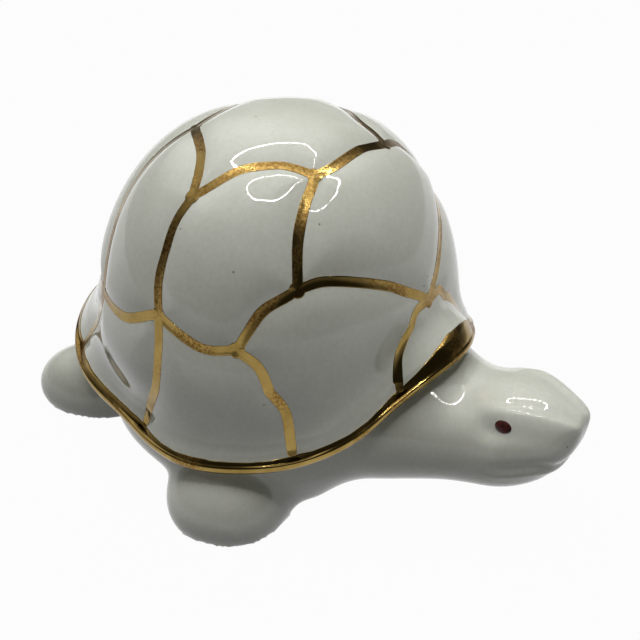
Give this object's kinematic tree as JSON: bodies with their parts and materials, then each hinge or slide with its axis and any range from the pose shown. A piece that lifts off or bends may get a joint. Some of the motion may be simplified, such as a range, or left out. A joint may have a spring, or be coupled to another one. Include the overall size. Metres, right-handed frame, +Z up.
{
  "type": "turtle figurine",
  "caption": "Glazed ceramic turtle ornament with a tall domed shell, puffy scutes edged in gold lustre, a flared lip and small oval eyes.",
  "frame": {"origin": "on the ground, in the flat underside of the belly, under the axis of the domed shell", "axes": "+X from tail to nose, +Y to the turtle's left, +Z up"},
  "size_m": [0.161, 0.1172, 0.0918],
  "materials": {
    "glaze": "gloss",
    "gold": "gloss",
    "enamel": "gloss"
  },
  "bodies": {
    "root": {"carapace": "glaze", "body": "glaze", "gold_crown_right": "gold", "gold_crown_left": "gold", "gold_upper_right": "gold", "gold_upper_left": "gold", "gold_belt_right": "gold", "gold_belt_left": "gold", "gold_skirt_right": "gold", "gold_skirt_left": "gold", "gold_edge": "gold", "right_eye": "enamel", "left_eye": "enamel"}
  },
  "joints": []
}
